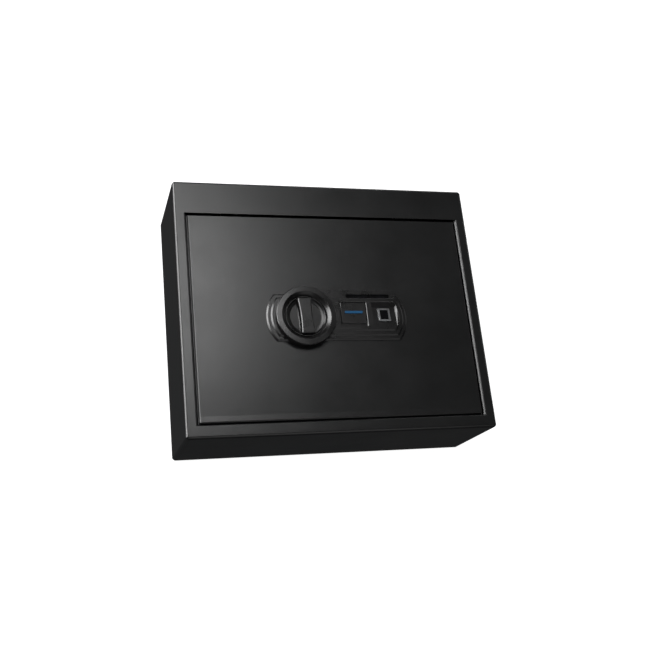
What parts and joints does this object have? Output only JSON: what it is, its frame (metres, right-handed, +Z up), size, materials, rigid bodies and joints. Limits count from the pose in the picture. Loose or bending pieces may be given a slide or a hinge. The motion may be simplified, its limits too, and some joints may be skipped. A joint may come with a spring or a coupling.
{
  "type": "gun safe",
  "caption": "Small black steel drawer safe with a hinged top lid, round turn knob, fingerprint reader, backup key lock behind a pull-off cover, and sliding bolts.",
  "frame": {"origin": "centre of the underside, on the surface that the safe stands on", "axes": "+X along the front edge, +Y towards the hinges, +Z up, out of the lid"},
  "size_m": [0.33, 0.276, 0.1152],
  "materials": {
    "powder_coat": "fine textured black powder coat",
    "panel_plastic": "satin black moulded plastic",
    "grey_plastic": "plain dark grey moulded plastic",
    "smoked_lens": "polished smoked plastic",
    "sensor_glass": "polished black glass",
    "satin_metal": "satin",
    "zinc": "zinc plated",
    "brass": "turned",
    "copper": "enamelled copper winding",
    "foam": "fine black foam",
    "rubber": "matte",
    "board": "green solder mask",
    "cell": "plain shrink sleeve",
    "blue_bar": "plain blue",
    "wire": "plain sleeve"
  },
  "bodies": {
    "case": {"outer_shell": "powder_coat", "base_plate": "powder_coat", "anchor_plug_1": "rubber", "anchor_plug_2": "rubber", "anchor_plug_3": "rubber", "anchor_plug_4": "rubber", "floor_mat": "foam", "strike_bar": "zinc", "hinge_bracket_left": "powder_coat", "hinge_bracket_right": "powder_coat", "hinge_pin_left": "satin_metal", "hinge_pin_right": "satin_metal"},
    "lid": {"lid_plate": "powder_coat", "hinge_arm_left": "powder_coat", "hinge_arm_right": "powder_coat", "lock_panel": "panel_plastic", "sensor_bezel": "satin_metal", "sensor_window": "sensor_glass", "status_light_lens": "smoked_lens", "ring_bezel": "panel_plastic", "spindle_bush": "brass", "key_barrel": "satin_metal", "barrel_nut": "zinc", "bolt_guide_left": "grey_plastic", "bolt_guide_right": "grey_plastic", "guide_post_1": "zinc", "guide_post_2": "zinc", "solenoid_frame": "zinc", "solenoid_coil": "copper", "plunger_spring": "satin_metal", "lock_housing": "panel_plastic", "housing_screw_1": "zinc", "housing_screw_2": "zinc", "housing_screw_3": "zinc", "housing_screw_4": "zinc", "battery_tray": "panel_plastic", "cell_1": "cell", "cell_2": "cell", "cell_3": "cell", "cell_4": "cell", "circuit_board": "board", "sensor_cable": "wire", "battery_lead": "wire", "solenoid_lead": "wire"},
    "knob": {"knob": "panel_plastic", "spindle": "zinc", "drive_cam": "zinc"},
    "bolts": {"bolt_carriage": "zinc", "locking_bolt_left": "satin_metal", "locking_bolt_right": "satin_metal"},
    "plunger": {"plunger": "satin_metal"},
    "key_cover": {"key_cover": "panel_plastic", "cover_bar": "blue_bar"},
    "key_plug": {"key_plug": "brass", "plug_cam": "zinc"},
    "enrol_button": {"enrol_button": "grey_plastic"},
    "battery_cover": {"battery_cover": "panel_plastic"}
  },
  "joints": [
    {"name": "lid_hinge", "type": "hinge", "parent": "case", "child": "lid", "pos_m": [0, 0.1175, 0.099], "axis": [-1, 0, 0], "range_deg": [0, 95]},
    {"name": "knob_turn", "type": "hinge", "parent": "lid", "child": "knob", "pos_m": [-0.035, -0.015, 0.1107], "axis": [0, 0, -1], "range_deg": [0, 90]},
    {"name": "bolt_slide", "type": "slide", "parent": "lid", "child": "bolts", "axis": [0, -1, 0], "range_m": [0, 0.012]},
    {"name": "plunger_slide", "type": "slide", "parent": "lid", "child": "plunger", "axis": [-1, 0, 0], "range_m": [0, 0.005]},
    {"name": "key_cover_pull", "type": "slide", "parent": "lid", "child": "key_cover", "axis": [0, 0, 1], "range_m": [0, 0.02]},
    {"name": "key_turn", "type": "hinge", "parent": "lid", "child": "key_plug", "pos_m": [0.0173, -0.0115, 0.1107], "axis": [0, 0, -1], "range_deg": [0, 90]},
    {"name": "enrol_press", "type": "slide", "parent": "lid", "child": "enrol_button", "axis": [0, 0, 1], "range_m": [0, 0.0015], "stiffness_N_per_m": 300, "springref_m": -0.001},
    {"name": "battery_cover_pull", "type": "slide", "parent": "lid", "child": "battery_cover", "axis": [0, 0, -1], "range_m": [0, 0.03]}
  ],
  "couplings": [
    {"joint": "knob_turn", "follows": "bolt_slide", "rad_per_m": 130.89}
  ]
}
